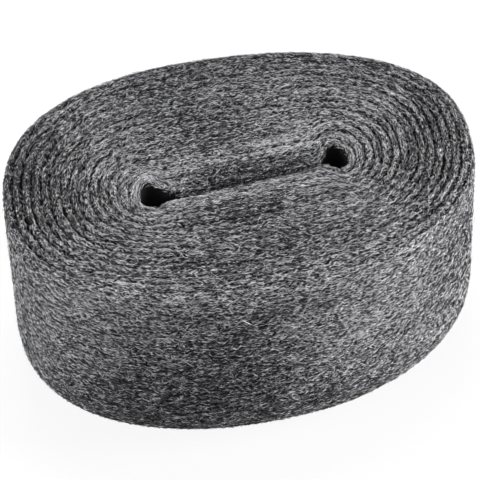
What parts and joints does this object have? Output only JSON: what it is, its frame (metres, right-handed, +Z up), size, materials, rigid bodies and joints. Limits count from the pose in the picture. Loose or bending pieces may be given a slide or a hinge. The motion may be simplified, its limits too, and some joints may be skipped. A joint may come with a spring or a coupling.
{
  "type": "steel wool roll",
  "caption": "Flat-wound oval coil of felted steel fibre band, torn or cut into pads for rubbing down, cleaning and polishing.",
  "frame": {"origin": "centre of the coil's underside, on the surface it rests on", "axes": "+Z up along the band's width, +X along the oval's long axis, +Y across it towards the side where the band ends"},
  "size_m": [0.2328, 0.1808, 0.1],
  "materials": {
    "steel_fibre": "dull dark grey felt of fine steel fibres, with bright single strands"
  },
  "bodies": {
    "root": {"steel_wool_roll": "steel_fibre"}
  },
  "joints": []
}
